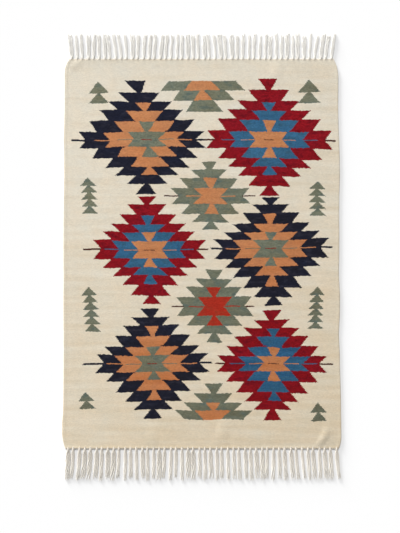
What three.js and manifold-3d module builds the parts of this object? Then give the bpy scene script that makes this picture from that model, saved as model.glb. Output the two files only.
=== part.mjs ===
// A kilim rug lying on the floor: one flatwoven field and, at each end, its warp ends knotted into a fringe.
// Units are millimetres. +X runs across the rug, +Y along it towards the short fringe, +Z up from the floor.
import * as THREE from "three";
import { mergeVertices } from "three/addons/utils/BufferGeometryUtils.js";
import Module from "manifold-3d";

// Driving dimensions
const FIELD = { width: 900, length: 1270, thickness: 4, cellsAcross: 22, cellsAlong: 30 };
const SELVEDGE_ROUND = 1.2; // the top and bottom edges draw in by this much behind the rounded rim
const HEADING = { depth: 6, height: 3.4, parting: 0.3 }; // the twined strip that the knots sit on
const STRAND = { perFringe: 48, fromCorner: 8, height: 4, flatTop: 0.62, rootInside: 1, bend: 1.5 };
const UNEVEN_ROOT = { by: 1.4, turn: 2.4 }; // a wave that pairs some strands and parts others
const UNEVEN_LENGTH = { by: 3.1, turn: 3.1 }; // a wave that makes each strand longer or shorter than the last

// Each fringe, and how far across a strand's tip lies from its root at places across the field
const FRINGES = [
  {
    name: "short_fringe", end: 1, length: 81, width: 12.4, phase: 0.4,
    leans: [
      { across: -450, lean: -12 },
      { across: -350, lean: 2 },
      { across: -265, lean: -11 },
      { across: -190, lean: 7 },
      { across: -105, lean: 6 },
      { across: -40, lean: 0 },
      { across: 60, lean: -6 },
      { across: 180, lean: 5 },
      { across: 240, lean: 0 },
      { across: 330, lean: 0 },
      { across: 370, lean: 11 },
      { across: 450, lean: 10 },
    ],
  },
  {
    name: "long_fringe", end: -1, length: 102, width: 13.4, phase: 2.2,
    leans: [
      { across: -450, lean: -6 },
      { across: -340, lean: -6 },
      { across: -310, lean: -2 },
      { across: -280, lean: -5 },
      { across: -190, lean: 3 },
      { across: -130, lean: -4 },
      { across: -40, lean: 2 },
      { across: 60, lean: 2 },
      { across: 160, lean: 6 },
      { across: 225, lean: -3 },
      { across: 280, lean: 6 },
      { across: 330, lean: 11 },
      { across: 380, lean: 4 },
      { across: 450, lean: 10 },
    ],
  },
];

// How far each long edge stands out from half the width, from the long fringe's end to the short one's
const SELVEDGES = [
  { along: 0.0, left: 5, right: 8 },
  { along: 0.06, left: 5, right: 7 },
  { along: 0.11, left: 1, right: 6 },
  { along: 0.25, left: 0, right: 2 },
  { along: 0.3, left: 0, right: -1 },
  { along: 0.37, left: 1, right: 4 },
  { along: 0.46, left: 0, right: -1 },
  { along: 0.52, left: 1, right: 1 },
  { along: 0.62, left: 0, right: 0 },
  { along: 0.72, left: -2, right: 3 },
  { along: 0.8, left: 0, right: 0 },
  { along: 0.86, left: -3, right: -3 },
  { along: 1.0, left: -3, right: -2 },
];

// The outer warps are tied, which draws each corner in by its tuck, from its reach away from the end
const CORNERS = [
  { end: 1, left: { tuck: 15, reach: 36 }, right: { tuck: 15, reach: 50 } },
  { end: -1, left: { tuck: 11, reach: 50 }, right: { tuck: 9, reach: 34 } },
];

// Soft creases where the cloth lifts off the floor; a heading of 0 degrees lies along +X
const CREASES = [
  { x: 399, y: -600, heading: 53, length: 96, width: 32, height: 2.4 },
  { x: -408, y: 620, heading: 23, length: 64, width: 32, height: 1.2 },
];

// A strand from its knot to its tip, in shares of its own length, width and height
const STRAND_FORM = [
  { along: 0.0, width: 0.6, height: 1.0 },
  { along: 0.05, width: 0.82, height: 1.35 },
  { along: 0.1, width: 0.84, height: 1.25 },
  { along: 0.2, width: 0.9, height: 0.95 },
  { along: 0.45, width: 1.0, height: 0.95 },
  { along: 0.75, width: 1.0, height: 0.9 },
  { along: 1.0, width: 0.95, height: 0.62 },
];

const COLOURS = { wool: 0xe0d6c2, cotton: 0xdad4c8 };

const wasm = await Module();
wasm.setup();

// How far one corner is drawn in at y
function tuckAt(y, { tuck, reach }) {
  const nearEnd = Math.max(0, 1 - (FIELD.length / 2 - Math.abs(y)) / reach);
  return tuck * nearEnd ** 2;
}

// Where the two long edges are at y, eased from row to row of the table, with the corners drawn in
function edgesAt(y) {
  const along = y / FIELD.length + 0.5;
  const next = Math.max(1, SELVEDGES.findIndex((row) => row.along >= along));
  const [before, after] = [SELVEDGES[next - 1], SELVEDGES[next]];
  const share = THREE.MathUtils.smoothstep(along, before.along, after.along);
  const corner = CORNERS.find(({ end }) => end * y >= 0);
  const half = FIELD.width / 2;
  return {
    left: tuckAt(y, corner.left) - half - THREE.MathUtils.lerp(before.left, after.left, share),
    right: half - tuckAt(y, corner.right) + THREE.MathUtils.lerp(before.right, after.right, share),
  };
}

// A smooth hump that is 1 in the middle and ends at 1 away from it
function hump(away) {
  return Math.abs(away) < 1 ? (1 - away ** 2) ** 2 : 0;
}

// How far the cloth is lifted off the floor at a point
function liftAt(x, y) {
  const lifts = CREASES.map((crease) => {
    const turn = THREE.MathUtils.degToRad(crease.heading);
    const along = (x - crease.x) * Math.cos(turn) + (y - crease.y) * Math.sin(turn);
    const across = (y - crease.y) * Math.cos(turn) - (x - crease.x) * Math.sin(turn);
    return crease.height * hump((2 * along) / crease.length) * hump((2 * across) / crease.width);
  });
  return Math.max(...lifts);
}

// A box of unit size, cut into cells and moved point by point
function shapedBox(cells, place) {
  const box = new THREE.BoxGeometry(1, 1, 1, ...cells);
  const points = box.getAttribute("position");
  const point = new THREE.Vector3();
  for (let i = 0; i < points.count; i += 1) {
    point.fromBufferAttribute(points, i);
    points.setXYZ(i, ...place(point.x, point.y, point.z));
  }
  box.deleteAttribute("normal");
  box.deleteAttribute("uv");
  return mergeVertices(box);
}

// Cells that close up towards both ends, from -0.5 to 0.5, so that the corners have the finest ones
function closedUp(share) {
  return 0.5 * Math.sin(Math.PI * share);
}

// The woven field: a flat sheet with uneven selvedges, drawn-in corners and a rounded rim
function fieldGeometry() {
  const cells = [FIELD.cellsAcross, FIELD.cellsAlong, 2];
  return shapedBox(cells, (acrossShare, alongShare, upShare) => {
    const y = FIELD.length * closedUp(alongShare);
    const { left, right } = edgesAt(y);
    const drawnIn = 2 * SELVEDGE_ROUND * Math.abs(upShare);
    const x = THREE.MathUtils.lerp(left + drawnIn, right - drawnIn, closedUp(acrossShare) + 0.5);
    return [x, y, liftAt(x, y) + FIELD.thickness * (upShare + 0.5)];
  });
}

// How far across the tip lies of a strand that is knotted at a place across the field
function leanAt(leans, across) {
  const next = Math.max(1, leans.findIndex((row) => row.across >= across));
  const [before, after] = [leans[next - 1], leans[next]];
  return THREE.MathUtils.mapLinear(across, before.across, after.across, before.lean, after.lean);
}

// Each strand's own root, tip and length, from left to right
function strandRoutes(fringe) {
  const { left, right } = edgesAt((fringe.end * FIELD.length) / 2);
  const gap = (right - left - 2 * STRAND.fromCorner) / (STRAND.perFringe - 1);
  return Array.from({ length: STRAND.perFringe }, (_, i) => {
    const uneven = UNEVEN_ROOT.by * Math.sin(UNEVEN_ROOT.turn * i + fringe.phase);
    const longer = UNEVEN_LENGTH.by * Math.sin(UNEVEN_LENGTH.turn * i + fringe.phase);
    const root = left + STRAND.fromCorner + gap * i + uneven;
    return { root, tip: root + leanAt(fringe.leans, root), length: fringe.length + longer };
  });
}

// One four-sided strand lying on the floor, from inside the heading to its tip
function strandGeometry(route, fringe) {
  const steps = STRAND_FORM.length - 1;
  const start = FIELD.length / 2 + HEADING.parting + STRAND.rootInside;
  return shapedBox([1, steps, 1], (acrossShare, alongShare, upShare) => {
    const form = STRAND_FORM[Math.round((alongShare + 0.5) * steps)];
    const width = fringe.width * form.width * (upShare > 0 ? STRAND.flatTop : 1);
    const middle = THREE.MathUtils.lerp(route.root, route.tip, form.along ** STRAND.bend);
    const y = fringe.end * (start + (route.length - STRAND.rootInside) * form.along);
    return [middle + fringe.end * acrossShare * width, y, STRAND.height * form.height * (upShare + 0.5)];
  });
}

// The narrow strip along the end of the field that all of a fringe's strands grow from
function headingGeometry(fringe) {
  const endLine = fringe.end * (FIELD.length / 2);
  const { left, right } = edgesAt(endLine);
  const strip = new THREE.BoxGeometry(right - left, HEADING.depth, HEADING.height);
  const middleOut = HEADING.parting + HEADING.depth / 2;
  strip.translate((left + right) / 2, endLine + fringe.end * middleOut, HEADING.height / 2);
  strip.deleteAttribute("normal");
  strip.deleteAttribute("uv");
  return mergeVertices(strip);
}

// A closed geometry as a solid that can be joined to others
function solidOf(geometry) {
  const vertProperties = geometry.getAttribute("position").array;
  const triVerts = new Uint32Array(geometry.index.array);
  return new wasm.Manifold(new wasm.Mesh({ numProp: 3, vertProperties, triVerts }));
}

// A joined solid as a geometry
function geometryOf(solid) {
  const { vertProperties, triVerts } = solid.getMesh();
  const geometry = new THREE.BufferGeometry();
  geometry.setAttribute("position", new THREE.BufferAttribute(vertProperties, 3));
  geometry.setIndex(new THREE.BufferAttribute(triVerts, 1));
  return geometry;
}

// A whole fringe: the heading strip with its strands fused into it at their knots
function fringeGeometry(fringe) {
  const strands = strandRoutes(fringe).map((route) => solidOf(strandGeometry(route, fringe)));
  const joined = strands.reduce((whole, strand) => whole.add(strand), solidOf(headingGeometry(fringe)));
  return geometryOf(joined);
}

function piece(name, geometry, colour) {
  geometry.computeVertexNormals();
  const material = new THREE.MeshStandardMaterial({ color: colour, roughness: 0.95, metalness: 0 });
  const mesh = new THREE.Mesh(geometry, material);
  mesh.name = name;
  return mesh;
}

const rug = new THREE.Group();
rug.add(piece("woven_field", fieldGeometry(), COLOURS.wool));
for (const fringe of FRINGES) rug.add(piece(fringe.name, fringeGeometry(fringe), COLOURS.cotton));

// The origin is on the floor, under the middle of the whole rug
const middle = new THREE.Box3().setFromObject(rug).getCenter(new THREE.Vector3());
rug.position.set(-middle.x, -middle.y, 0);

export default rug;
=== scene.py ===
"""A kilim rug laid out on a pale floor: a flatwoven field of stepped lozenges with a fringe at each end.

Meshes are in metres in the rug's own frame: +X across it, +Y along it towards the short fringe, +Z up.
The weaver's chart is in millimetres from the middle of the woven field.
"""

from __future__ import annotations

import logging
import math
import random
from collections import defaultdict
from dataclasses import dataclass, field
from enum import IntEnum
from typing import Callable, Sequence, Union

import bmesh
import bpy
import numpy as np
from mathutils import Color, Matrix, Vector


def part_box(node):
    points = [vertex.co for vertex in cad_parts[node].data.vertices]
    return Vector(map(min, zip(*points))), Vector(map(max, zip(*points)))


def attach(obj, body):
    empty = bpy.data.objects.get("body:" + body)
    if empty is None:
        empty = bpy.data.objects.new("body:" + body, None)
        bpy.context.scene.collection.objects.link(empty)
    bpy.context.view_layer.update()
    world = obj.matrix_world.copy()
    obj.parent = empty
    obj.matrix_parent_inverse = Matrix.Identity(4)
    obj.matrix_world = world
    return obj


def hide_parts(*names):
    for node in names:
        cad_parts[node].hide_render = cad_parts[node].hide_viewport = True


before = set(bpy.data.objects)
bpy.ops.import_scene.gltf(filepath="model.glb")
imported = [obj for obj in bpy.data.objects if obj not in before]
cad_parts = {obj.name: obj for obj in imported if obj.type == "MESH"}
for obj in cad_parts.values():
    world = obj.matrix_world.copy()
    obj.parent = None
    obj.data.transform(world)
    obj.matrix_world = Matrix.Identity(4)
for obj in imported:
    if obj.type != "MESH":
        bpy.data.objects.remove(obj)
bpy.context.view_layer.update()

LOG = logging.getLogger("kilim")
BODY = "root"
MM = 0.001
FULL_TONE = 255
BAKE_MAP = "OFBake"
WEAVE_MAP = "Weave"
MAP_MIDDLE = Vector((0.5, 0.5))

Rgb = tuple[float, float, float]


class Yarn(IntEnum):
    """The dyed weft yarns, in the order of their colours on the ramp."""

    CREAM = 0
    NAVY = 1
    ORANGE = 2
    GREEN = 3
    RED = 4
    BLUE = 5
    BRICK = 6
    BROWN = 7


def linear(seen: Rgb) -> Rgb:
    """Turn a colour as it is seen, from 0 to 255, into the shader's linear scale."""
    return tuple(Color([value / FULL_TONE for value in seen]).from_srgb_to_scene_linear())


@dataclass(frozen=True)
class Dye:
    """One yarn's colours: the two lots that it was dyed in, and the flecks where it took the dye unevenly.

    The first lot is used up before the second, which takes over towards the long fringe and the right.
    The second is darker, partly as its own dye lot and partly as painted shade where the light falls off.
    The heather is how strongly the spun yarn varies along itself, next to the undyed cream.
    """

    first: Rgb
    second: Rgb
    fleck: Rgb
    heather: float


DYES: dict[Yarn, Dye] = {
    Yarn.CREAM: Dye((227, 218, 200), (214, 198, 171), (219, 206, 184), heather=1.0),
    Yarn.NAVY: Dye((29, 31, 46), (26, 26, 35), (42, 42, 54), heather=4.0),
    Yarn.ORANGE: Dye((197, 134, 90), (179, 110, 66), (180, 116, 80), heather=2.0),
    Yarn.GREEN: Dye((118, 122, 104), (99, 100, 83), (90, 102, 95), heather=3.0),
    Yarn.RED: Dye((138, 19, 31), (122, 12, 20), (108, 11, 25), heather=4.0),
    Yarn.BLUE: Dye((58, 104, 137), (38, 79, 110), (53, 90, 114), heather=3.2),
    Yarn.BRICK: Dye((168, 46, 31), (160, 43, 29), (148, 55, 36), heather=3.0),
    Yarn.BROWN: Dye((78, 46, 40), (72, 42, 36), (84, 54, 46), heather=2.5),
}


@dataclass(frozen=True)
class Colourway:
    """The yarns of one lozenge: three nested bands, the pip in its middle and the line that runs out of it.

    The line's half width is in millimetres.
    """

    outer: Yarn
    middle: Yarn
    inner: Yarn
    pip: Yarn
    line: Yarn
    line_half: float


NAVY_WAY = Colourway(Yarn.NAVY, Yarn.ORANGE, Yarn.GREEN, Yarn.RED, Yarn.NAVY, line_half=3.0)
RED_WAY = Colourway(Yarn.RED, Yarn.BLUE, Yarn.ORANGE, Yarn.BROWN, Yarn.BROWN, line_half=2.8)
GREEN_WAY = Colourway(Yarn.GREEN, Yarn.ORANGE, Yarn.ORANGE, Yarn.ORANGE, Yarn.BROWN, line_half=2.1)
BRICK_WAY = Colourway(Yarn.GREEN, Yarn.BRICK, Yarn.BRICK, Yarn.BRICK, Yarn.BROWN, line_half=2.2)


@dataclass(frozen=True)
class Lozenge:
    """One stepped lozenge of the chart, in millimetres from the middle of the field.

    Its rows widen away from its middle line, and each row is a step narrower than the one before it. The
    second and third yarns step in the same way from two rows further in, moved across by their shift, to a
    tip of their own. A thin line runs through the middle and out past the widest row by its reach on the
    left and on the right. It leans and bows to one side and its rows tilt, as hand-woven ones do; its seed
    sets the rest.
    """

    across: float
    along: float
    half_width: float
    up: float
    down: float
    way: Colourway
    seed: int
    lean: float = 0.0
    bow: float = 0.0
    tilt: float = 0.0
    tip: float = 28.0
    inner_tip: float = 23.0
    rows: int = 6
    shown: int = 6
    shift: tuple[float, float] = (0.0, 0.0)
    reach: tuple[float, float] = (12.0, 12.0)
    lined: bool = True

    def terms(self) -> dict[str, float]:
        """Give the lozenge's values by name.

        Returns:
            All that the motif group's inputs need, among them.
        """
        shifts = zip(("middle_shift", "inner_shift"), self.shift)
        reaches = zip(("left_reach", "right_reach"), self.reach)
        return {**vars(self), **vars(self.way), **dict(shifts), **dict(reaches)}


# The height of a side that the rug's end cuts off
CUT = 0.02
LOZENGES: tuple[Lozenge, ...] = (
    Lozenge(-197, 372, 207, 192, 175, NAVY_WAY, seed=0, lean=-0.09, bow=11, tilt=0.01,
            tip=34, inner_tip=26, shift=(9, 16), reach=(21, 9)),
    Lozenge(222, 372, 205, 197, 180, RED_WAY, seed=20, lean=-0.01, tilt=-0.015,
            tip=33, reach=(3, 10)),
    Lozenge(-170, 14, 184, 173, 177, RED_WAY, seed=40, lean=-0.04,
            tip=33, shift=(0, 2), reach=(33, 9)),
    Lozenge(231, 19, 188, 168, 191, NAVY_WAY, seed=60, lean=-0.025, tilt=0.012,
            tip=32, shift=(-3, -4), reach=(10, 12)),
    Lozenge(-163, -358, 186, 183, 184, NAVY_WAY, seed=80, lean=-0.025, bow=5, tilt=0.015,
            tip=32, shift=(1, 3), reach=(38, 12)),
    Lozenge(231, -358, 180, 174, 186, RED_WAY, seed=100, lean=-0.01, tilt=-0.008,
            tip=31, shift=(5, 5), reach=(6, 20)),
    Lozenge(28, 189, 130, 114, 112, GREEN_WAY, seed=120, lean=-0.03,
            tip=25, rows=4, shown=4, shift=(3, 0), reach=(23, 19)),
    Lozenge(42, -172, 124, 123, 120, BRICK_WAY, seed=140, lean=-0.01,
            inner_tip=26, rows=4, shown=4, reach=(17, 3)),
    Lozenge(3, 565, 138, CUT, 130, GREEN_WAY, seed=150, lean=-0.07,
            tip=25, inner_tip=31, rows=4, shown=3, shift=(-2, 0), lined=False),
    Lozenge(40, -541, 127, 115, CUT, GREEN_WAY, seed=180,
            tip=30, rows=4, shown=4, lined=False),
)


@dataclass(frozen=True)
class Tree:
    """One tree of stacked triangles, from its top tier, in millimetres from the middle of the field."""

    across: float
    along: float
    tiers: int
    tier: float
    half_width: float
    lean: float = 0.0
    yarn: Yarn = Yarn.GREEN

    def terms(self) -> dict[str, float]:
        """Give the tree's values by name."""
        return dict(vars(self))


TREES: tuple[Tree, ...] = (
    Tree(-335, 557, tiers=2, tier=32, half_width=33),
    Tree(353, 563, tiers=2, tier=35, half_width=36),
    Tree(-371, 244, tiers=5, tier=22.5, half_width=26.5, lean=-0.065),
    Tree(380, 233, tiers=5, tier=22, half_width=28),
    Tree(-368, -110, tiers=6, tier=24, half_width=26.5, lean=-0.1),
    Tree(380, -111, tiers=6, tier=22.6, half_width=26.5, lean=0.06),
    Tree(-377, -457, tiers=2, tier=25, half_width=28, lean=-0.1),
    Tree(382, -492, tiers=2, tier=27, half_width=27),
)


def math_method(operation: str, backwards: bool = False) -> Callable[..., Wire]:
    """Make a method of Wire that adds one Math node.

    Args:
        operation: Blender's name for what the node does.
        backwards: whether the wire comes after the other term.

    Returns:
        The method, which takes the other term where there is one.
    """

    def method(wire: Wire, *others: Term) -> Wire:
        """Add the node over the wire and the other term."""
        terms = (*others, wire) if backwards else (wire, *others)
        return wire.draft.math(operation, *terms)

    return method


class Wire:
    """One value in a node tree, so that a formula over nodes reads as a sum.

    A test such as below gives 1 where it holds and 0 elsewhere. The size is the value without its sign.
    """

    __add__ = __radd__ = math_method("ADD")
    __sub__ = math_method("SUBTRACT")
    __rsub__ = math_method("SUBTRACT", backwards=True)
    __mul__ = __rmul__ = math_method("MULTIPLY")
    __truediv__ = math_method("DIVIDE")
    below = math_method("LESS_THAN")
    above = math_method("GREATER_THAN")
    floor = math_method("FLOOR")
    fraction = math_method("FRACT")
    size = math_method("ABSOLUTE")

    def __init__(self, draft: Draft, socket: bpy.types.NodeSocket) -> None:
        """Keep the socket and the draft that new nodes go into."""
        self.draft = draft
        self.socket = socket

    def held(self) -> Wire:
        """Hold this value between 0 and 1."""
        return self.draft.math("MINIMUM", self.draft.math("MAXIMUM", self, 0.0), 1.0)


Term = Union[Wire, float]


class Draft:
    """Adds nodes to one node tree, in the order in which they are worked out."""

    def __init__(self, tree: bpy.types.NodeTree) -> None:
        """Keep the tree that nodes go into."""
        self.tree = tree

    def feed(self, socket: bpy.types.NodeSocket, term: object) -> None:
        """Link a wire to a socket, or set a plain value on it.

        Args:
            socket: the input to fill.
            term: a wire, a number or a tuple of numbers.
        """
        if isinstance(term, Wire):
            self.tree.links.new(term.socket, socket)
        else:
            socket.default_value = term

    def node(
        self, kind: str, inputs: dict[str | int, object] | None = None, **settings: object
    ) -> bpy.types.Node:
        """Add one node.

        Args:
            kind: Blender's name for the node's type.
            inputs: what goes into its sockets, by name or place.
            settings: the node's own options.

        Returns:
            The new node.
        """
        made = self.tree.nodes.new(kind)
        for name, value in settings.items():
            setattr(made, name, value)
        for name, term in (inputs or {}).items():
            self.feed(made.inputs[name], term)
        return made

    def out(self, node: bpy.types.Node, name: str | int = 0) -> Wire:
        """Give one output of a node as a wire."""
        return Wire(self, node.outputs[name])

    def math(self, operation: str, *terms: Term) -> Wire:
        """Add a Math node over one or more terms and give its value."""
        return self.out(self.node("ShaderNodeMath", dict(enumerate(terms)), operation=operation))

    def mix(self, share: Term, zero: Term, one: Term) -> Wire:
        """Give a number that goes from zero to one by a share."""
        return self.out(self.node("ShaderNodeMix", {0: share, 2: zero, 3: one}, data_type="FLOAT"))

    def blend(self, share: Term, zero: object, one: object, way: str = "MIX") -> Wire:
        """Give a colour that goes from zero to one by a share, in one of Blender's ways of blending."""
        inputs = {0: share, 6: zero, 7: one}
        return self.out(self.node("ShaderNodeMix", inputs, data_type="RGBA", blend_type=way), 2)

    def point(self, x: Term, y: Term, z: Term = 0.0) -> Wire:
        """Give a vector made of three numbers."""
        return self.out(self.node("ShaderNodeCombineXYZ", {0: x, 1: y, 2: z}))

    def parts(self, vector: Wire) -> tuple[Wire, Wire, Wire]:
        """Give a vector's or a colour's three numbers."""
        split = self.node("ShaderNodeSeparateXYZ", {0: vector})
        return self.out(split, 0), self.out(split, 1), self.out(split, 2)

    def noise(self, place: Wire, scale: float, detail: float = 2.0, kind: str = "2D") -> bpy.types.Node:
        """Add a flat or solid noise, whose first output is a number and second a colour."""
        inputs = {"Vector": place, "Scale": scale, "Detail": detail}
        return self.node("ShaderNodeTexNoise", inputs, noise_dimensions=kind)

    def chance(self, place: Wire) -> bpy.types.Node:
        """Add a noise that has one value for each whole place, which stays the same on every run."""
        return self.node("ShaderNodeTexWhiteNoise", {"Vector": place}, noise_dimensions="3D")

    def bump(self, strength: float, depth: float, height: Wire) -> Wire:
        """Give the slopes of a height, where 1 stands for a depth in metres."""
        inputs = {"Strength": strength, "Distance": depth, "Height": height}
        return self.out(self.node("ShaderNodeBump", inputs))

    def surface(self, inputs: dict[str | int, object]) -> None:
        """Add a material's shader and its output."""
        shader = self.node("ShaderNodeBsdfPrincipled", inputs)
        self.node("ShaderNodeOutputMaterial", {"Surface": self.out(shader)})


def new_material(name: str) -> tuple[bpy.types.Material, Draft]:
    """Start a material.

    Args:
        name: the material's name.

    Returns:
        The material, without nodes, and the draft that adds them.
    """
    material = bpy.data.materials.new(name)
    material.use_nodes = True
    material.node_tree.nodes.clear()
    return material, Draft(material.node_tree)


@dataclass(frozen=True)
class Grain:
    """A flat noise over the chart: how fine it is across and along, and its layers of detail."""

    across: float
    along: float
    detail: float

    def over(self, draft: Draft, x: Wire, y: Wire) -> Wire:
        """Give the noise at a place, from 0 to 1."""
        return draft.out(draft.noise(draft.point(x * self.across, y * self.along), 1.0, self.detail))


class MotifGroup:
    """A node group that draws one motif of the chart over the yarns that are already laid."""

    name = ""
    inputs: tuple[str, ...] = ()

    def __init__(self) -> None:
        """Make the group's sockets and nodes."""
        self.tree = bpy.data.node_groups.new(self.name, "ShaderNodeTree")
        for name in self.inputs:
            self.tree.interface.new_socket(name, in_out="INPUT", socket_type="NodeSocketFloat")
        self.tree.interface.new_socket("Yarn", in_out="OUTPUT", socket_type="NodeSocketFloat")
        draft = Draft(self.tree)
        source = draft.node("NodeGroupInput")
        given = {name: draft.out(source, name) for name in self.inputs}
        yarn = self.draw(draft, given)
        draft.node("NodeGroupOutput", {"Yarn": yarn})

    def draw(self, draft: Draft, given: dict[str, Wire]) -> Wire:
        """Work out which yarn shows; each motif has its own."""
        raise NotImplementedError

    def lay(self, draft: Draft, given: dict[str, Term]) -> Wire:
        """Add one motif to a material.

        Args:
            draft: the material's draft.
            given: terms by name, with one for each of the group's inputs.

        Returns:
            The yarn that shows, with this motif laid over the rest.
        """
        inputs = {name: given[name] for name in self.inputs}
        return draft.out(draft.node("ShaderNodeGroup", inputs, node_tree=self.tree))


class LozengeGroup(MotifGroup):
    """Stepped rows that widen away from a middle line, nested three deep, with a thin line through them.

    An edge slants in across its row but leaves a neck. Rows are uneven in width and, in turns, in height.
    The second and third bands are inset a little more, and start nearer the middle where there are more
    rows than in a level lozenge.
    """

    name = "stepped_lozenge"
    inputs = (
        "ground", "x", "y", "line_y", "across", "along", "half_width", "tip", "inner_tip", "up", "down",
        "lean", "bow", "tilt", "rows", "shown", "middle_shift", "inner_shift", "left_reach", "right_reach",
        "lined", "line_half", "seed", "outer", "middle", "inner", "pip", "line",
    )
    slant = 28.0
    neck = 8.0
    uneven = 6.0
    uneven_rows = 0.1
    uneven_turn = 1.7
    rows_in = 2.0
    inset = 4.0
    nearer = 0.06
    level_rows = 4.0
    inner_neck = 5.0
    inner_halves = (1.6, 1.2)
    inner_reach = 26.0
    pip_half = 17.0
    yarns = (("outer", "line"), ("middle", "middle"), ("inner", "inner"))

    def draw(self, draft: Draft, given: dict[str, Wire]) -> Wire:
        """Work out which of the lozenge's yarns shows.

        Args:
            draft: the group's draft.
            given: the group's inputs.

        Returns:
            The yarn's number, or the ground's where the lozenge isn't.
        """
        from_middle = given["x"] - given["across"]
        middle_line = given["along"] + given["tilt"] * from_middle
        along = given["y"] - middle_line
        off_line = (given["line_y"] - middle_line).size()
        way_out = draft.math("MAXIMUM", along / given["up"], 0.0 - along / given["down"])
        bowed = given["bow"] * draft.math("SINE", draft.math("MINIMUM", way_out, 1.0) * math.pi)
        across = from_middle - given["lean"] * along - bowed
        even_row = way_out * given["rows"]
        swing = draft.math("SINE", even_row * self.uneven_turn + given["seed"]) * self.uneven_rows
        row_at = draft.math("MAXIMUM", even_row + swing, 0.0)
        row = row_at.floor()
        quarter = draft.point(row + given["seed"], across.above(0.0), along.above(0.0))
        chances = draft.parts(draft.out(draft.chance(quarter), "Color"))
        step = (given["half_width"] - given["tip"]) / (given["rows"] - 1.0)
        inside = row_at.below(given["shown"])
        outer_reach = draft.mix(across.above(0.0), given["left_reach"], given["right_reach"])
        shifts = (0.0, given["middle_shift"], given["inner_shift"])
        reaches = (outer_reach, self.inner_reach, self.inner_reach)
        line_halves = (given["line_half"], *self.inner_halves)
        yarn = given["ground"]
        for level, (band_yarn, line_yarn) in enumerate(self.yarns):
            off = (across - shifts[level]).size()
            deeper = self.rows_in * level
            widest = given["half_width"] - step * deeper
            own_step, neck = step, self.neck
            if level == 1:
                row_at = row_at + (given["rows"] - self.level_rows) * self.nearer
                row = row_at.floor()
            if level:
                widest = widest - self.inset
                own_step = (widest - given["inner_tip"]) / (given["rows"] - (deeper + 1.0))
                neck = self.inner_neck
            widest = widest + (chances[level] - 0.5) * self.uneven
            corner = widest - own_step * row
            slant = draft.math("MINIMUM", corner - neck, self.slant)
            edge = corner - slant * (1.0 - row_at.fraction())
            band = off.below(edge) * inside * (row + deeper).below(given["rows"] - 0.5)
            line = off.below(widest + reaches[level]) * off_line.below(line_halves[level]) * given["lined"]
            yarn = draft.mix(line, yarn, given[line_yarn])
            yarn = draft.mix(band, yarn, given[band_yarn])
        pip = off.below(self.pip_half) * off_line.below(line_halves[-1]) * given["lined"]
        return draft.mix(pip, yarn, given["pip"])


class TreeGroup(MotifGroup):
    """Triangles stacked point to base, with a taller one on top."""

    name = "stacked_tree"
    inputs = ("ground", "x", "y", "across", "along", "tier", "tiers", "half_width", "lean", "yarn")
    neck = 0.15
    peak = 0.2

    def draw(self, draft: Draft, given: dict[str, Wire]) -> Wire:
        """Work out where the tree's yarn shows.

        Args:
            draft: the group's draft.
            given: the group's inputs.

        Returns:
            The tree's yarn number, or the ground's where the tree isn't.
        """
        below_top = given["along"] - given["y"]
        off = (given["x"] - given["across"] + given["lean"] * below_top).size()
        tier_at = below_top / given["tier"]
        top_share = (tier_at + self.peak) * (1 / (1 + self.peak))
        tier_share = tier_at.fraction() * (1 - self.neck) + self.neck
        edge = given["half_width"] * draft.mix(tier_at.above(1.0), top_share, tier_share)
        inside = off.below(edge) * tier_at.above(-self.peak) * tier_at.below(given["tiers"])
        return draft.mix(inside, given["ground"], given["yarn"])


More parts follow.
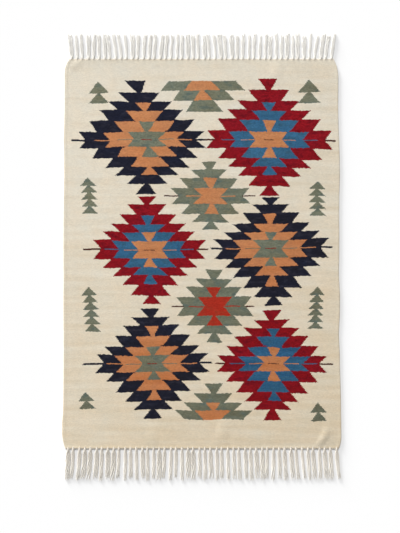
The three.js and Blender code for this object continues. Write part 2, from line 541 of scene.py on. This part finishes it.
@dataclass
class WoolWeave:
    """The finish of the woven field: dyed wool weft beaten down over the warps, in the chart's yarns."""

    warps: int
    wefts: int
    middle: Vector
    width: float
    length: float
    wander: float = 9.0
    wander_scale: float = 0.008
    wander_fine: float = 3.0
    wander_fine_scale: float = 0.035
    stagger: float = 1.8
    stagger_run: float = 9.0
    # Painted shade: the wool's colour darkens towards the right, where the light falls off from the left
    fade: float = 0.07
    # How the second dye lot spreads: partly its own dye, partly painted shade towards the lower right
    lot_share: float = 0.4
    lot_and_shade_along: float = 0.65
    lot_and_shade_across: float = 0.25
    lot_streaks: float = 1.3
    streaks: Grain = Grain(across=0.004, along=0.05, detail=3.0)
    patches: Grain = Grain(across=0.03, along=0.07, detail=5.0)
    picks: Grain = Grain(across=0.05, along=0.45, detail=2.0)
    fleck_from: float = 0.52
    fleck_gain: float = 5.0
    fleck_heather: float = 0.3
    bead_share: float = 0.14
    pick_share: float = 0.13
    warm_share: float = 0.09
    warm_scale: float = 0.014
    warm_detail: float = 4.0
    # Painted shade in the hollows between beads, and a painted highlight on their crowns
    hollow_painted_shade: float = 0.9
    crown_painted_highlight: float = 0.14
    # Painted highlight: the wool lightens over its last millimetres at the long fringe's end, like a raised
    # edge catching light
    end_highlight_band: float = 9.0
    end_highlight_lift: float = 0.08
    fuzz_scale: float = 0.9
    fuzz_detail: float = 3.0
    fuzz_share: float = 0.4
    bump: float = 0.5
    bump_depth: float = 0.0005
    roughness: float = 0.95
    gloss: float = 0.04
    sheen: float = 0.02
    sheen_roughness: float = 0.7
    name: str = "wool_weave"

    def make(self) -> bpy.types.Material:
        """Make the material.

        Returns:
            The material, which reads Object coordinates for the chart and the weave's map for the threads.
        """
        material, draft = new_material(self.name)
        x, y = self.chart_place(draft)
        rib, bead, over, beat = self.threads(draft)
        thread_x = x - (over - 0.5) * (self.width / MM / self.warps)
        thread_y = y - (beat - 0.5) * (self.length / MM / self.wefts)
        yarn = self.chart(draft, *self.wandered(draft, rib, thread_x, thread_y))
        heather = self.heathered(draft, yarn)
        colour = self.dyed(draft, yarn, heather, thread_x, thread_y)
        height = self.bead_height(over, beat)
        colour = self.shaded_and_toned(draft, colour, heather, draft.point(rib, bead), thread_x, thread_y, height)
        fuzz = draft.out(draft.noise(draft.point(x, y), self.fuzz_scale, self.fuzz_detail))
        surface = {
            "Base Color": colour,
            "Roughness": self.roughness,
            "Specular IOR Level": self.gloss,
            "Sheen Weight": self.sheen,
            "Sheen Roughness": self.sheen_roughness,
            "Normal": draft.bump(self.bump, self.bump_depth, height + fuzz * self.fuzz_share),
        }
        draft.surface(surface)
        return material

    def chart_place(self, draft: Draft) -> tuple[Wire, Wire]:
        """Give the place on the chart, in millimetres from the middle of the field."""
        x, y, _ = draft.parts(draft.out(draft.node("ShaderNodeTexCoord"), "Object"))
        return (x - self.middle.x) * (1 / MM), (y - self.middle.y) * (1 / MM)

    def threads(self, draft: Draft) -> tuple[Wire, Wire, Wire, Wire]:
        """Number the threads.

        Args:
            draft: the material's draft.

        Returns:
            The warp's number, its weft bead's number, and how far across and along that bead the place is.
        """
        place = draft.out(draft.node("ShaderNodeUVMap", uv_map=WEAVE_MAP))
        u, v, _ = draft.parts(place)
        warp_at = u * float(self.warps)
        rib = warp_at.floor()
        turned = (rib * 0.5).fraction()
        bead_at = v * float(self.wefts) + turned
        return rib, bead_at.floor(), warp_at.fraction(), bead_at.fraction()

    def wandered(self, draft: Draft, rib: Wire, x: Wire, y: Wire) -> tuple[Wire, Wire, Wire]:
        """Let the rows wander as hand-beaten ones do, and stagger each warp's colour changes.

        Args:
            draft: the material's draft.
            rib: the warp's number.
            x: the place across the chart.
            y: the place along the chart.

        Returns:
            The place that the weaver meant for this thread: across, along, and along for a thin line.
        """
        wanders = ((self.wander, self.wander_scale), (self.wander_fine, self.wander_fine_scale))
        for reach, scale in wanders:
            wander = draft.parts(draft.out(draft.noise(draft.point(x, y), scale), "Color"))
            x = x + (wander[0] - 0.5) * reach
            y = y + (wander[1] - 0.5) * reach
        run = draft.point(rib, (y * (1 / self.stagger_run)).floor())
        return x, y + (draft.out(draft.chance(run), "Value") - 0.5) * self.stagger, y

    def chart(self, draft: Draft, x: Wire, y: Wire, line_y: Wire) -> Wire:
        """Lay the lozenges and trees over the cream ground.

        Args:
            draft: the material's draft.
            x: the place across the chart.
            y: the place along the chart.
            line_y: the place along the chart for the thin lines.

        Returns:
            The number of the yarn that shows.
        """
        yarn: Term = float(Yarn.CREAM)
        place = {"x": x, "y": y, "line_y": line_y}
        for group, motifs in ((LozengeGroup(), LOZENGES), (TreeGroup(), TREES)):
            for motif in motifs:
                yarn = group.lay(draft, {**motif.terms(), **place, "ground": yarn})
        return yarn

    def stepped(self, draft: Draft, yarn: Wire, tints: Sequence[Rgb]) -> Wire:
        """Give a yarn's own tint.

        Args:
            draft: the material's draft.
            yarn: the number of the yarn that shows.
            tints: a tint for each yarn in turn.

        Returns:
            The tint.
        """
        made = draft.node("ShaderNodeValToRGB", {0: (yarn + 0.5) * (1 / len(tints))})
        made.color_ramp.interpolation = "CONSTANT"
        stops = made.color_ramp.elements
        while len(stops) < len(tints):
            stops.new(1.0)
        for number, (tint, stop) in enumerate(zip(tints, stops)):
            stop.position = number / len(tints)
            stop.color = (*tint, 1.0)
        return draft.out(made)

    def lot(self, draft: Draft, yarn: Wire, name: str) -> Wire:
        """Give the colour of a yarn in one dye lot."""
        return self.stepped(draft, yarn, [linear(getattr(DYES[kind], name)) for kind in Yarn])

    def heathered(self, draft: Draft, yarn: Wire) -> Wire:
        """Give how strongly a yarn varies along itself."""
        most = max(dye.heather for dye in DYES.values())
        return self.stepped(draft, yarn, [(DYES[kind].heather / most,) * 3 for kind in Yarn]) * most

    def dyed(self, draft: Draft, yarn: Wire, heather: Wire, x: Wire, y: Wire) -> Wire:
        """Colour the yarns.

        Args:
            draft: the material's draft.
            yarn: the number of the yarn that shows.
            heather: how strongly the yarn varies.
            x: the thread's place across the chart.
            y: the thread's place along the chart.

        Returns:
            The colour, with flecks; the second lot takes over in uneven bands towards the long fringe and the
            right, darker partly as its own dye and partly as painted shade.
        """
        streak = self.streaks.over(draft, x, y)
        # The second, darker lot spreads towards the long fringe and the right, partly as painted shade
        second = self.lot_share - y * (self.lot_and_shade_along * MM) + x * (self.lot_and_shade_across * MM)
        second = (second + (streak - 0.5) * self.lot_streaks).held()
        lots = draft.blend(second, self.lot(draft, yarn, "first"), self.lot(draft, yarn, "second"))
        patch = (self.patches.over(draft, x, y) - self.fleck_from) * self.fleck_gain
        fleck = patch.held() * (heather * self.fleck_heather).held()
        return draft.blend(fleck, lots, self.lot(draft, yarn, "fleck"))

    def bead_height(self, over: Wire, beat: Wire) -> Wire:
        """Give the rounded height of a weft bead, from 0 in its hollows to 1 on its crown."""
        across, along = over * 2.0 - 1.0, beat * 2.0 - 1.0
        return (1.0 - across * across) * (1.0 - along * along)

    def shaded_and_toned(
        self, draft: Draft, colour: Wire, heather: Wire, bead: Wire, x: Wire, y: Wire, height: Wire
    ) -> Wire:
        """Paint shade and highlights in, and let the spun yarn vary from bead to bead and along each pick.

        The shade is painted into the hollows between beads and towards the right, the highlights onto the
        crowns and along the long fringe's end.

        Args:
            draft: the material's draft.
            colour: the dyed colour.
            heather: how strongly the yarn varies.
            bead: the bead's number across and along.
            x: the thread's place across the chart.
            y: the thread's place along the chart.
            height: the bead's height.

        Returns:
            The colour as the threads show it, with painted shade and highlights.
        """
        chance = draft.out(draft.chance(bead), "Value")
        pick = self.picks.over(draft, x, y)
        warm = draft.out(draft.noise(draft.point(x, y), self.warm_scale, self.warm_detail))
        warmth = (warm - 0.5) * self.warm_share * heather
        varied = ((chance - 0.5) * self.bead_share + (pick - 0.5) * self.pick_share) * heather
        # Painted highlight along the long fringe's end
        end_highlight = y.below(self.end_highlight_band - self.length / MM / 2) * self.end_highlight_lift
        # Painted shade in the bead hollows and towards the right, painted highlights on the crowns and along
        # the long fringe's end
        painted_light_and_tone = self.hollow_painted_shade + height * self.crown_painted_highlight + varied + end_highlight - x * (self.fade * MM)
        tint_inputs = {0: painted_light_and_tone * (1.0 + warmth), 1: painted_light_and_tone, 2: painted_light_and_tone * (1.0 - warmth)}
        tint = draft.node("ShaderNodeCombineColor", tint_inputs)
        return draft.blend(1.0, colour, draft.out(tint), "MULTIPLY")


@dataclass(frozen=True)
class Crease:
    """A soft place where the cloth lifts off the floor, in millimetres from the middle of the field."""

    across: float
    along: float
    heading: float
    length: float
    width: float
    height: float

    def lift(self, x: float, y: float) -> float:
        """Give how far the cloth is lifted at a place.

        Args:
            x: the place across the field, in millimetres.
            y: the place along the field, in millimetres.

        Returns:
            The height, in millimetres.
        """
        turn = math.radians(self.heading)
        dx, dy = x - self.across, y - self.along
        along = 2 * (dx * math.cos(turn) + dy * math.sin(turn)) / self.length
        across = 2 * (dy * math.cos(turn) - dx * math.sin(turn)) / self.width
        if abs(along) >= 1 or abs(across) >= 1:
            return 0.0
        return self.height * (1 - along**2) ** 2 * (1 - across**2) ** 2


CREASES: tuple[Crease, ...] = (
    Crease(399, -600, heading=53, length=96, width=32, height=2.4),
    Crease(-408, 620, heading=23, length=64, width=32, height=1.2),
    Crease(72, -580, heading=84, length=110, width=60, height=1.2),
    Crease(-160, -596, heading=96, length=90, width=56, height=0.9),
    Crease(245, 596, heading=88, length=90, width=56, height=1.1),
)


@dataclass
class WovenField:
    """The flatwoven cloth: ribs over the warps, fuller cords at the selvedges and a rounded rim."""

    node: str = "woven_field"
    warps: int = 250
    weft_pitch: float = 0.0014
    rows: int = 92
    thickness: float = 0.004
    rib: float = 0.0006
    selvedge_warps: int = 3
    selvedge_rise: float = 0.0003
    rim: float = 0.0006
    end_rim: float = 0.0002
    end_rows: tuple[float, ...] = (0.0, 0.0014, 0.0045, 0.011)
    pulled: float = 0.0008
    pull_width: float = 0.0032
    flat: tuple[float, float] = (0.9, 1.27)
    left_reach: float = 0.455
    map_share: float = 0.98
    rim_room: float = 1.012
    upright: float = 0.5
    slot: str = "wool_weave"
    digits: int = 5
    knots: dict[int, list[float]] = field(default_factory=dict)

    def __post_init__(self) -> None:
        """Read where the cloth's edges are from its solid."""
        across = defaultdict(list)
        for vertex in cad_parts[self.node].data.vertices:
            across[round(vertex.co.y, self.digits)].append(vertex.co.x)
        self.edge_places = np.array(sorted(across))
        self.lefts = np.array([min(across[y]) for y in sorted(across)])
        self.rights = np.array([max(across[y]) for y in sorted(across)])
        self.low, self.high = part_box(self.node)
        self.middle = Vector((self.low.x + self.left_reach, (self.low.y + self.high.y) / 2, 0.0))

    @property
    def columns(self) -> int:
        """Give how many columns the cloth's grid has, two to a warp."""
        return 2 * self.warps

    def end_line(self, end: int) -> float:
        """Give where the cloth ends along the rug, at the short fringe for 1 and at the long one for -1."""
        return self.high.y if end > 0 else self.low.y

    def edges(self, y: float) -> tuple[float, float]:
        """Give the left and the right edge at a place along the rug."""
        left, right = (float(np.interp(y, self.edge_places, side)) for side in (self.lefts, self.rights))
        return left, right

    def row_places(self) -> list[float]:
        """Space the rows of points.

        Returns:
            The share of the length at each row, closer at the two rounded ends.
        """
        ends = [step / self.flat[1] for step in self.end_rows]
        inner = self.rows - 2 * len(ends) + 2
        span = 1 - 2 * ends[-1]
        middle = [ends[-1] + span * i / inner for i in range(1, inner)]
        return ends + middle + [1 - share for share in reversed(ends)]

    def face_height(self, column: int, end_row: int, side: int) -> float:
        """Give the height of a face over the cloth's underside at a point.

        Args:
            column: the point's column, two to a warp.
            end_row: how many rows the point is from the nearer end.
            side: 1 for the upper face and -1 for the lower one.

        Returns:
            The height there.
        """
        inward = min(column, self.columns - column)
        if inward == 0:
            sunk = self.rim
        elif end_row == 0:
            sunk = self.end_rim
        else:
            sunk = 0.0 if column % 2 else self.rib
        if side < 0:
            return sunk
        raised = self.selvedge_rise if 0 < inward < 2 * self.selvedge_warps else 0.0
        return self.thickness + raised - sunk

    def pull(self, x: float, end: int, end_row: int) -> float:
        """Give how far the knots pull the cloth's end outwards at a point.

        Args:
            x: the point's place across the rug.
            end: 1 for the short fringe's end and -1 for the long one's.
            end_row: how many rows the point is from that end.

        Returns:
            The distance, which dies away over the rows that are close together.
        """
        fade = 1 - end_row / (len(self.end_rows) - 1)
        if fade <= 0:
            return 0.0
        nearest = min(abs(x - knot) for knot in self.knots[end])
        return end * fade * self.pulled * math.exp(-((nearest / self.pull_width) ** 2))

    def build(self) -> bpy.types.Object:
        """Build the cloth as one closed sheet.

        Returns:
            The cloth's object.
        """
        mesh = bmesh.new()
        bmesh.ops.create_grid(mesh, x_segments=self.columns, y_segments=self.rows, size=0.5)
        weave = mesh.loops.layers.uv.new(WEAVE_MAP)
        bake = mesh.loops.layers.uv.new(BAKE_MAP)
        under = list(mesh.verts)
        shares = self.row_places()
        for face in mesh.faces:
            for loop in face.loops:
                column, row = self.cell(loop.vert)
                place = Vector((column / self.columns, shares[row]))
                loop[weave].uv = place
                loop[bake].uv = MAP_MIDDLE + (place - MAP_MIDDLE) * self.map_share
        grown = bmesh.ops.extrude_face_region(mesh, geom=list(mesh.faces), use_keep_orig=True)
        over = [item for item in grown["geom"] if isinstance(item, bmesh.types.BMVert)]
        for side, points in ((-1, under), (1, over)):
            for point in points:
                self.place(point, shares, side)
        bmesh.ops.recalc_face_normals(mesh, faces=list(mesh.faces))
        self.spread_rim(mesh, bake)
        return finished(mesh, "woven_field_cloth")

    def cell(self, point: bmesh.types.BMVert) -> tuple[int, int]:
        """Give the column and the row of a point that is still on the unit grid."""
        return round((point.co.x + 0.5) * self.columns), round((point.co.y + 0.5) * self.rows)

    def place(self, point: bmesh.types.BMVert, shares: Sequence[float], side: int) -> None:
        """Move one point of the unit grid to its place on a face of the cloth.

        Args:
            point: the point.
            shares: the share of the length at each row.
            side: 1 for the upper face and -1 for the lower one.
        """
        column, row = self.cell(point)
        y = self.low.y + (self.high.y - self.low.y) * shares[row]
        left, right = self.edges(y)
        x = left + (right - left) * column / self.columns
        end, end_row = (1, self.rows - row) if 2 * row > self.rows else (-1, row)
        height = self.lift(x, y) + self.face_height(column, end_row, side)
        point.co = (x, y + self.pull(x, end, end_row), height)

    def lift(self, x: float, y: float) -> float:
        """Give how far the cloth is off the floor at a place."""
        across, along = (x - self.middle.x) / MM, (y - self.middle.y) / MM
        return MM * max(crease.lift(across, along) for crease in CREASES)

    def spread_rim(self, mesh: bmesh.types.BMesh, bake: bmesh.types.BMLayerItem) -> None:
        """Give the rim's faces a little room of their own on the bake's map.

        Args:
            mesh: the cloth.
            bake: its map.
        """
        for face in mesh.faces:
            if abs(face.normal.z) > self.upright:
                continue
            middle = face.calc_center_median().z
            for loop in face.loops:
                if loop.vert.co.z < middle:
                    loop[bake].uv = MAP_MIDDLE + (loop[bake].uv - MAP_MIDDLE) * self.rim_room

    def dress(self, piece: bpy.types.Object) -> None:
        """Put the woven finish on the cloth.

        Args:
            piece: the cloth's object.
        """
        size = self.high - self.low
        wefts = round(size.y / self.weft_pitch)
        finish = WoolWeave(self.warps, wefts, self.middle, size.x, size.y)
        piece.data.materials.append(finish.make())


def linked(data: bpy.types.ID) -> bpy.types.Object:
    """Put a mesh, a lamp or a camera into the scene.

    Args:
        data: the object's data.

    Returns:
        The object, at the origin and with its data's name.
    """
    made = bpy.data.objects.new(data.name, data)
    bpy.context.scene.collection.objects.link(made)
    return made


def finished(mesh: bmesh.types.BMesh, name: str) -> bpy.types.Object:
    """Turn a bmesh into an object.

    Args:
        mesh: the bmesh, which is freed.
        name: the object's name.

    Returns:
        The object, in the scene.
    """
    data = bpy.data.meshes.new(name)
    mesh.to_mesh(data)
    mesh.free()
    data.shade_smooth()
    return linked(data)


@dataclass(frozen=True)
class CottonYarn:
    """The finish of a fringe: off-white warp yarn, a little uneven, with painted shade near the knots."""

    name: str
    colour: Rgb
    shade: Rgb
    root: Rgb
    root_shade_reach: float
    root_shade_share: float
    patch_scale: float = 40.0
    patch_detail: float = 3.0
    fibre_scale: float = 1500.0
    fibre_detail: float = 2.0
    bump: float = 0.5
    bump_depth: float = 0.0004
    roughness: float = 0.9
    gloss: float = 0.2
    sheen: float = 0.1

    def make(self, edge: float, end: int) -> bpy.types.Material:
        """Make the material.

        Args:
            edge: where the cloth's end is along the rug.
            end: 1 where the strands run towards +Y from there, and -1 towards -Y.

        Returns:
            The material, on Object coordinates.
        """
        material, draft = new_material(self.name)
        place = draft.out(draft.node("ShaderNodeTexCoord"), "Object")
        patches = draft.noise(place, self.patch_scale, self.patch_detail, "3D")
        fibres = draft.noise(place, self.fibre_scale, self.fibre_detail, "3D")
        tints = [(*linear(tint), 1.0) for tint in (self.colour, self.shade, self.root)]
        colour = draft.blend(draft.out(patches), tints[0], tints[1])
        # Painted shade: the yarn darkens towards its root colour near the cloth's end
        out = (draft.parts(place)[1] - edge) * (end / self.root_shade_reach)
        colour = draft.blend((1.0 - out).held() * self.root_shade_share, colour, tints[2])
        surface = {
            "Base Color": colour,
            "Roughness": self.roughness,
            "Specular IOR Level": self.gloss,
            "Sheen Weight": self.sheen,
            "Normal": draft.bump(self.bump, self.bump_depth, draft.out(fibres)),
        }
        draft.surface(surface)
        return material


@dataclass(frozen=True)
class Route:
    """Where one strand of a fringe runs: its knot and tip across the rug, and its length."""

    root: float
    tip: float
    length: float


@dataclass(frozen=True)
class Lean:
    """How far across a strand's tip lies from its root, at a place across the field, in millimetres."""

    across: float
    lean: float


SHORT_LEANS: tuple[Lean, ...] = (
    Lean(-450, -12),
    Lean(-350, 2),
    Lean(-265, -11),
    Lean(-190, 7),
    Lean(-105, 6),
    Lean(-40, 0),
    Lean(60, -6),
    Lean(180, 5),
    Lean(240, 0),
    Lean(330, 0),
    Lean(370, 11),
    Lean(450, 10),
)
LONG_LEANS: tuple[Lean, ...] = (
    Lean(-450, -6),
    Lean(-340, -6),
    Lean(-310, -2),
    Lean(-280, -5),
    Lean(-190, 3),
    Lean(-130, -4),
    Lean(-40, 2),
    Lean(60, 2),
    Lean(160, 6),
    Lean(225, -3),
    Lean(280, 6),
    Lean(330, 11),
    Lean(380, 4),
    Lean(450, 10),
)


@dataclass
class KnottedFringe:
    """The warp ends at one end of the rug, gathered and knotted into strands that lie on the floor."""

    name: str
    node: str
    end: int
    length: float
    phase: float
    half_width: float
    leans: tuple[Lean, ...]
    finish: CottonYarn
    count: int = 48
    from_corner: float = 0.008
    uneven_root: float = 0.0014
    root_turn: float = 2.4
    uneven_length: float = 0.0031
    length_turn: float = 3.1
    bend: float = 1.5
    plies: int = 9
    twist: float = 0.9
    steps: int = 9
    inside: float = 0.004
    ply_radius: float = 0.00125
    half_height: float = 0.0009
    neck: float = 0.0015
    knot_at: float = 0.0045
    knot_length: float = 0.0055
    knot_radius: float = 0.0011
    knot_half_width: float = 0.0034
    knot_half_height: float = 0.0017
    knot_turns: float = 2.2
    knot_steps: int = 14
    knot_start: float = 0.3
    opened_at: float = 0.014
    shortest: float = -0.06
    longest: float = 0.02
    thinning: float = 0.65
    thins_at: float = 0.8
    wisps: int = 2
    wisp_radius: float = 0.3
    wisp_reach: tuple[float, float] = (0.01, 0.07)
    ply_stray: float = 0.0022
    step_spread: float = 1.4
    neck_lift: float = 0.0008
    width_spread: float = 0.22
    tip_drift: float = 0.0018
    heading_out: float = 0.0016
    heading_radius: float = 0.001
    heading_pitch: float = 0.009
    heading_steps: int = 4
    seeds_apart: int = 100
    slot: str = "warp_fringe"

    def routes(self, cloth: WovenField) -> list[Route]:
        """Lay out the strands from left to right.

        Args:
            cloth: the field that the strands grow from.

        Returns:
            A route for each strand.
        """
        left, right = cloth.edges(cloth.end_line(self.end))
        span = right - left - 2 * self.from_corner
        found = []
        for number in range(self.count):
            uneven = self.uneven_root * math.sin(self.root_turn * number + self.phase)
            root = left + self.from_corner + span * number / (self.count - 1) + uneven
            tip = root + MM * self.lean_at((root - cloth.middle.x) / MM)
            longer = self.uneven_length * math.sin(self.length_turn * number + self.phase)
            found.append(Route(root, tip, self.length + longer))
        return found

    def lean_at(self, across: float) -> float:
        """Give how far across a strand's tip lies, straight from row to row of the leans, in millimetres."""
        places, leans = zip(*((row.across, row.lean) for row in self.leans))
        return float(np.interp(across, places, leans))

    def build(self, cloth: WovenField) -> bpy.types.Object:
        """Build all the strands as one mesh.

        Args:
            cloth: the field that the strands grow from.

        Returns:
            The fringe's object.
        """
        edge = cloth.end_line(self.end)
        lines = bpy.data.curves.new(self.name, "CURVE")
        lines.dimensions = "3D"
        lines.bevel_depth = 1.0
        lines.bevel_resolution = 1
        lines.use_fill_caps = True
        for number, route in enumerate(self.routes(cloth)):
            dice = random.Random(self.seeds_apart * number + self.end)
            self.add_strand(lines, route, edge, dice)
            self.add_knot(lines, route, edge, dice)
        self.add_heading(lines, *cloth.edges(edge), edge)
        holder = bpy.data.objects.new(self.name, lines)
        data = bpy.data.meshes.new_from_object(holder)
        bpy.data.objects.remove(holder)
        bpy.data.curves.remove(lines)
        data.name = self.name
        data.shade_smooth()
        return linked(data)

    def middle_at(self, route: Route, edge: float, out: float) -> tuple[float, float]:
        """Give the middle line of a strand at a distance out from the cloth's edge."""
        share = max(out / route.length, 0.0)
        return route.root + (route.tip - route.root) * share**self.bend, edge + self.end * out

    def opened(self, out: float) -> float:
        """Give how far a strand has opened out from its neck, from 0 to 1, at a distance from the cloth."""
        share = min(max((out - self.knot_at) / (self.opened_at - self.knot_at), 0.0), 1.0)
        return share * share * (3 - 2 * share)

    def add_strand(self, lines: bpy.types.Curve, route: Route, edge: float, dice: random.Random) -> None:
        """Add the plies of one strand, narrow at the knot, open below it and frayed at the tip.

        Args:
            lines: the curve that takes the plies.
            route: where the strand runs.
            edge: the cloth's end.
            dice: the strand's own seeded draws.
        """
        start = dice.random()
        full = self.half_width * (1 + dice.uniform(-self.width_spread, self.width_spread)) - self.ply_radius
        drift = dice.uniform(-self.tip_drift, self.tip_drift)
        for ply in range(self.plies + self.wisps):
            wisp = ply >= self.plies
            radius = self.ply_radius * (self.wisp_radius if wisp else 1.0)
            reaches = self.wisp_reach if wisp else (self.shortest, self.longest)
            reach = route.length * (1 + dice.uniform(*reaches))
            stray = drift + dice.uniform(-self.ply_stray, self.ply_stray)
            turn = ply / self.plies + start
            points = []
            for step in range(self.steps + 1):
                share = step / self.steps
                out = share**self.step_spread * (reach + self.inside) - self.inside
                angle = 2 * math.pi * (turn + self.twist * share)
                spread = self.neck + (full - self.neck) * self.opened(out)
                across = spread * math.cos(angle) + stray * share**2
                near_tip = max(share - self.thins_at, 0.0) / (1 - self.thins_at)
                thick = radius * (1 - self.thinning * near_tip)
                raised = self.half_height * (1 + math.sin(angle)) + self.neck_lift * (1 - self.opened(out))
                x, y = self.middle_at(route, edge, out)
                points.append((x + across, y, thick + raised, thick))
            add_line(lines, points)

    def add_knot(self, lines: bpy.types.Curve, route: Route, edge: float, dice: random.Random) -> None:
        """Wind the knot round the root of one strand.

        Args:
            lines: the curve that takes the knot.
            route: where the strand runs.
            edge: the cloth's end.
            dice: the strand's own seeded draws.
        """
        start = dice.random() * self.knot_start
        points = []
        for step in range(self.knot_steps + 1):
            share = step / self.knot_steps
            angle = 2 * math.pi * (start + self.knot_turns * share)
            x, y = self.middle_at(route, edge, self.knot_at + self.knot_length * (share - 0.5))
            z = self.knot_radius + self.knot_half_height * (1 + math.sin(angle))
            points.append((x + self.knot_half_width * math.cos(angle), y, z, self.knot_radius))
        add_line(lines, points)

    def add_heading(self, lines: bpy.types.Curve, left: float, right: float, edge: float) -> None:
        """Twine two yarns along the cloth's end, under the knots.

        Args:
            lines: the curve that takes the yarns.
            left: the cloth's left edge.
            right: the cloth's right edge.
            edge: the cloth's end.
        """
        steps = round((right - left) / self.heading_pitch * self.heading_steps)
        for ply in range(2):
            points = []
            for step in range(steps + 1):
                angle = 2 * math.pi * (step / self.heading_steps + ply / 2)
                y = edge + self.end * (self.heading_out + self.heading_radius * math.cos(angle))
                z = self.heading_radius * (2 + math.sin(angle))
                points.append((left + (right - left) * step / steps, y, z, self.heading_radius))
            add_line(lines, points)

    def dress(self, piece: bpy.types.Object, cloth: WovenField) -> None:
        """Put the cotton finish on the strands, with painted shade where they leave the cloth.

        Args:
            piece: the fringe's object.
            cloth: the field that the strands grow from.
        """
        piece.data.materials.clear()
        piece.data.materials.append(self.finish.make(cloth.end_line(self.end), self.end))


def add_line(lines: bpy.types.Curve, points: Sequence[tuple[float, float, float, float]]) -> None:
    """Add one round line to a curve.

    Args:
        lines: the curve.
        points: each point's place and radius.
    """
    line = lines.splines.new("POLY")
    line.points.add(len(points) - 1)
    for target, (x, y, z, radius) in zip(line.points, points):
        target.co = (x, y, z, 1.0)
        target.radius = radius


@dataclass(frozen=True)
class Lamp:
    """A far-off soft light: the way it comes from, how high it stands, and how strong and wide it is."""

    name: str
    bearing: float
    height: float
    strength: float
    spread: float


@dataclass
class Studio:
    """A pale floor, soft light from the upper left and a camera straight above the rug."""

    rug: WovenField
    floor_size: float = 80.0
    floor_drop: float = 0.0003
    floor_colour: Rgb = (0.95, 0.95, 0.95)
    lens: float = 85.0
    sensor: float = 36.0
    frame_height: float = 1.743
    aim: tuple[float, float] = (-0.004, -0.0412)
    sky: float = 0.42
    lamp_distance: float = 3.0
    lamps: tuple[Lamp, ...] = (
        Lamp("key", bearing=104.0, height=40.0, strength=1.955, spread=12.0),
        Lamp("low", bearing=120.0, height=7.0, strength=5.97, spread=12.0),
    )

    def build(self) -> None:
        """Build the floor, the light and the camera."""
        self.build_floor()
        self.build_light()
        self.build_camera()
        bpy.context.scene.view_settings.view_transform = "Standard"

    def build_floor(self) -> None:
        """Lay the floor just under the rug."""
        mesh = bmesh.new()
        bmesh.ops.create_grid(mesh, x_segments=1, y_segments=1, size=self.floor_size / 2)
        bmesh.ops.translate(mesh, vec=(0.0, 0.0, -self.floor_drop), verts=mesh.verts)
        floor = finished(mesh, "floor")
        material, draft = new_material("pale_floor")
        draft.surface({"Base Color": (*self.floor_colour, 1.0), "Roughness": 1.0, "Specular IOR Level": 0.0})
        floor.data.materials.append(material)

    def build_light(self) -> None:
        """Set the lamps and the light from all round."""
        for lamp in self.lamps:
            data = bpy.data.lights.new(lamp.name, "SUN")
            data.energy = lamp.strength
            data.angle = math.radians(lamp.spread)
            made = linked(data)
            turn, tilt = math.radians(lamp.bearing), math.radians(lamp.height)
            away = Vector((math.cos(turn) * math.cos(tilt), math.sin(turn) * math.cos(tilt), math.sin(tilt)))
            made.location = away * self.lamp_distance
            made.rotation_mode = "QUATERNION"
            made.rotation_quaternion = away.to_track_quat("Z", "Y")
        world = bpy.data.worlds.new("studio")
        world.use_nodes = True
        background = world.node_tree.nodes["Background"]
        background.inputs["Color"].default_value = (1.0, 1.0, 1.0, 1.0)
        background.inputs["Strength"].default_value = self.sky
        bpy.context.scene.world = world

    def build_camera(self) -> None:
        """Hang the camera over the rug, looking straight down with the short fringe at the top."""
        data = bpy.data.cameras.new("overhead")
        data.lens = self.lens
        data.sensor_width = self.sensor
        camera = linked(data)
        height = self.frame_height * self.lens / self.sensor
        camera.location = (self.rug.middle.x + self.aim[0], self.rug.middle.y + self.aim[1], height)
        bpy.context.scene.camera = camera


def settle(piece: bpy.types.Object, node: str) -> None:
    """Let a piece ride on the rug's one body in place of a solid, and report it.

    Args:
        piece: the dressed piece.
        node: the solid's name.
    """
    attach(piece, BODY)
    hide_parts(node)
    LOG.info("%s has %d faces", piece.name, len(piece.data.polygons))


def main() -> None:
    """Build the rug's pieces in order and set them on the floor."""
    logging.basicConfig(level=logging.INFO, format="%(name)s: %(message)s")
    # Each fringe's root colour is painted shade near the cloth; the long fringe's reaches over most of its
    # length
    upper = CottonYarn(
        "cotton_upper", colour=(240, 238, 233), shade=(230, 227, 220), root=(212, 204, 190),
        root_shade_reach=0.012, root_shade_share=0.7,
    )
    lower = CottonYarn(
        "cotton_lower", colour=(238, 234, 225), shade=(230, 224, 214), root=(204, 195, 182),
        root_shade_reach=0.08, root_shade_share=0.62,
    )
    fringes = [
        KnottedFringe(
            "short_fringe_strands", "short_fringe", end=1, length=0.081, phase=0.4, half_width=0.0062,
            leans=SHORT_LEANS, finish=upper, shortest=-0.03, longest=0.03, thinning=0.3, inside=0.0005,
        ),
        KnottedFringe(
            "long_fringe_strands", "long_fringe", end=-1, length=0.102, phase=2.2, half_width=0.0068,
            leans=LONG_LEANS, finish=lower,
        ),
    ]
    cloth = WovenField()
    cloth.knots = {fringe.end: [route.root for route in fringe.routes(cloth)] for fringe in fringes}
    rug = cloth.build()
    cloth.dress(rug)
    settle(rug, cloth.node)
    for fringe in fringes:
        piece = fringe.build(cloth)
        fringe.dress(piece, cloth)
        settle(piece, fringe.node)
    Studio(cloth).build()


if __name__ == "__main__":
    main()
